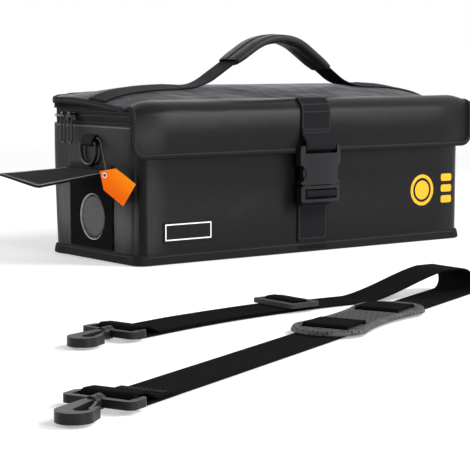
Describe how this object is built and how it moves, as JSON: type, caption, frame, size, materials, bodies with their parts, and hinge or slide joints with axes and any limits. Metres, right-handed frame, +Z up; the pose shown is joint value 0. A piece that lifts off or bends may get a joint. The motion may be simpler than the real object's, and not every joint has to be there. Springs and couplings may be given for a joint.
{
  "type": "battery safety bag",
  "caption": "Long soft box bag with a zipped domed lid, buckled front flap, padded carrying handle, side port with cover, side rings and a detached webbing shoulder strap.",
  "frame": {"origin": "middle of the bag's underside, on the floor", "axes": "+X right along the bag's front, +Y to its back, +Z up; the front flap and buckle face -Y"},
  "size_m": [0.85, 0.695, 0.2243],
  "materials": {
    "bag_cloth": "coated glass cloth, fine weave",
    "binding_tape": "woven binding tape",
    "foam_board": "closed-cell foam board",
    "lining_cloth": "plain lining cloth",
    "zip_tape": "zip tape",
    "zip_teeth": "coil teeth",
    "slider_metal": "black enamel",
    "webbing": "polypropylene webbing",
    "grip_wrap": "padded cloth wrap",
    "buckle_plastic": "moulded acetal, fine texture",
    "ring_metal": "black enamelled wire",
    "loop_pile": "loop pile",
    "hook_pile": "hook pile",
    "curtain_cloth": "grey coated cloth",
    "label_rubber": "moulded soft rubber",
    "tag_orange": "printed card",
    "tag_eyelet": "pressed eyelet",
    "tag_string": "thin twine",
    "hook_metal": "black coated zinc casting",
    "strap_webbing": "woven strap webbing",
    "glide_plastic": "moulded nylon",
    "pad_rubber": "moulded anti-slip rubber"
  },
  "bodies": {
    "bag": {"outer_wall": "bag_cloth", "outer_bottom": "bag_cloth", "base_binding": "binding_tape", "long_boards": "foam_board", "left_board": "foam_board", "right_board": "foam_board", "bottom_board": "foam_board", "inner_lining": "lining_cloth", "lid_hinge_cloth": "bag_cloth", "zip_tape_lower": "zip_tape", "zip_teeth_lower": "zip_teeth", "ring_tabs": "webbing", "port_loop_patch": "loop_pile", "port_flap_seam": "binding_tape", "label_patch": "label_rubber", "buckle_strap_lower": "webbing", "buckle_strap_loop": "webbing"},
    "lid": {"lid_panel": "bag_cloth", "lid_board": "foam_board", "lid_lining": "lining_cloth", "lid_binding": "binding_tape", "zip_tape_upper": "zip_tape", "zip_teeth_upper": "zip_teeth", "handle_webbing_sewn": "webbing", "handle_leg_left": "webbing", "handle_leg_right": "webbing"},
    "handle": {"handle_grip": "grip_wrap", "handle_core": "webbing"},
    "flap": {"flap_panel": "bag_cloth", "flap_binding": "binding_tape", "buckle_strap_upper": "webbing"},
    "socket": {"buckle_socket": "buckle_plastic"},
    "plug": {"buckle_plug": "buckle_plastic"},
    "arm_left": {"buckle_arm_left": "buckle_plastic"},
    "arm_right": {"buckle_arm_right": "buckle_plastic"},
    "slider_front": {"zip_slider_front": "slider_metal"},
    "slider_back": {"zip_slider_back": "slider_metal"},
    "pull_front": {"zip_pull_front": "slider_metal"},
    "pull_back": {"zip_pull_back": "slider_metal"},
    "d_ring_left": {"ring_left": "ring_metal"},
    "d_ring_right": {"ring_right": "ring_metal"},
    "port_cover": {"port_flap": "bag_cloth", "port_flap_hooks": "hook_pile"},
    "curtain": {"port_curtain": "curtain_cloth"},
    "tag": {"tag_card": "tag_orange", "tag_eyelet": "tag_eyelet", "tag_string": "tag_string"},
    "strap": {"strap_webbing_adjuster": "strap_webbing", "strap_webbing_short_run": "strap_webbing", "strap_webbing_long_run": "strap_webbing", "strap_webbing_fold": "strap_webbing", "hook_frames": "hook_metal"},
    "snap_hook_a": {"hook_a": "hook_metal"},
    "snap_hook_b": {"hook_b": "hook_metal"},
    "gate_a": {"hook_gate_a": "hook_metal"},
    "gate_b": {"hook_gate_b": "hook_metal"},
    "glide": {"glide_frame": "glide_plastic", "glide_webbing": "strap_webbing"},
    "pad": {"shoulder_pad": "pad_rubber", "pad_webbing": "strap_webbing"}
  },
  "joints": [
    {"name": "lid_hinge", "type": "hinge", "parent": "bag", "child": "lid", "pos_m": [0, 0.0744, 0.1478], "axis": [-1, 0, 0], "range_deg": [0, 110], "deforming": ["lid_hinge_cloth"]},
    {"name": "handle_swing", "type": "hinge", "parent": "lid", "child": "handle", "pos_m": [0.005, 0, 0.1735], "axis": [1, 0, 0], "range_deg": [-35, 35], "deforming": ["handle_leg_left", "handle_leg_right"]},
    {"name": "flap_hinge", "type": "hinge", "parent": "lid", "child": "flap", "pos_m": [0, -0.0655, 0.158], "axis": [-1, 0, 0], "range_deg": [0, 150]},
    {"name": "socket_swing", "type": "hinge", "parent": "flap", "child": "socket", "pos_m": [0, -0.087, 0.1085], "axis": [-1, 0, 0], "range_deg": [0, 60]},
    {"name": "buckle_release", "type": "slide", "parent": "bag", "child": "plug", "axis": [0, 0, -1], "range_m": [0, 0.03], "deforming": ["buckle_strap_loop"]},
    {"name": "arm_left_squeeze", "type": "hinge", "parent": "plug", "child": "arm_left", "pos_m": [-0.0165, -0.087, 0.0695], "axis": [0, 1, 0], "range_deg": [0, 8], "stiffness_Nm_per_rad": 0.5, "deforming": ["buckle_arm_left"]},
    {"name": "arm_right_squeeze", "type": "hinge", "parent": "plug", "child": "arm_right", "pos_m": [0.0165, -0.087, 0.0695], "axis": [0, -1, 0], "range_deg": [0, 8], "stiffness_Nm_per_rad": 0.5, "deforming": ["buckle_arm_right"]},
    {"name": "zip_front_travel", "type": "slide", "parent": "bag", "child": "slider_front", "axis": [0, -1, 0], "range_m": [0, 0.09], "deforming": ["zip_teeth_lower", "zip_teeth_upper"]},
    {"name": "zip_back_travel", "type": "slide", "parent": "bag", "child": "slider_back", "axis": [0, -1, 0], "range_m": [-0.001, 0.004]},
    {"name": "pull_front_swing", "type": "hinge", "parent": "slider_front", "child": "pull_front", "pos_m": [-0.2222, 0.0365, 0.144], "axis": [0, 1, 0], "range_deg": [0, 150]},
    {"name": "pull_back_swing", "type": "hinge", "parent": "slider_back", "child": "pull_back", "pos_m": [-0.2222, 0.05, 0.144], "axis": [0, 1, 0], "range_deg": [0, 150]},
    {"name": "ring_left_swing", "type": "hinge", "parent": "bag", "child": "d_ring_left", "pos_m": [-0.21815, 0.0085, 0.116], "axis": [0, 1, 0], "range_deg": [0, 150]},
    {"name": "ring_right_swing", "type": "hinge", "parent": "bag", "child": "d_ring_right", "pos_m": [0.21815, 0.0085, 0.116], "axis": [0, -1, 0], "range_deg": [0, 150]},
    {"name": "port_cover_hinge", "type": "hinge", "parent": "bag", "child": "port_cover", "pos_m": [-0.2195, 0.0085, 0.088], "axis": [0, 1, 0], "range_deg": [-80.5, 5]},
    {"name": "curtain_swing", "type": "hinge", "parent": "bag", "child": "curtain", "pos_m": [-0.2092, 0.006, 0.0755], "axis": [0, -1, 0], "range_deg": [0, 70]},
    {"name": "tag_swing", "type": "hinge", "parent": "bag", "child": "tag", "pos_m": [-0.2162, -0.0031, 0.121], "axis": [-0.9135, -0.4067, 0], "range_deg": [-12, 12]},
    {"name": "strap_lift", "type": "slide", "parent": "bag", "child": "strap", "axis": [0, 0, 1], "range_m": [0, 0.25]},
    {"name": "hook_a_swivel", "type": "hinge", "parent": "strap", "child": "snap_hook_a", "pos_m": [-0.45453, -0.39335, 0.00485], "axis": [0.9659, 0.2588, 0], "continuous": true},
    {"name": "hook_b_swivel", "type": "hinge", "parent": "strap", "child": "snap_hook_b", "pos_m": [-0.58468, -0.58618, 0.00485], "axis": [0.9182, 0.3961, 0], "continuous": true},
    {"name": "gate_a_press", "type": "hinge", "parent": "snap_hook_a", "child": "gate_a", "pos_m": [-0.46021, -0.39922, 0.00485], "axis": [0, 0, -1], "range_deg": [0, 12], "stiffness_Nm_per_rad": 0.3},
    {"name": "gate_b_press", "type": "hinge", "parent": "snap_hook_b", "child": "gate_b", "pos_m": [-0.58944, -0.59281, 0.00485], "axis": [0, 0, -1], "range_deg": [0, 12], "stiffness_Nm_per_rad": 0.3},
    {"name": "glide_slide", "type": "slide", "parent": "strap", "child": "glide", "axis": [0.9992, 0.0396, 0], "range_m": [-0.03, 0.005]},
    {"name": "pad_slide", "type": "slide", "parent": "strap", "child": "pad", "axis": [0.9182, 0.3961, 0], "range_m": [-0.08, 0.03]}
  ]
}
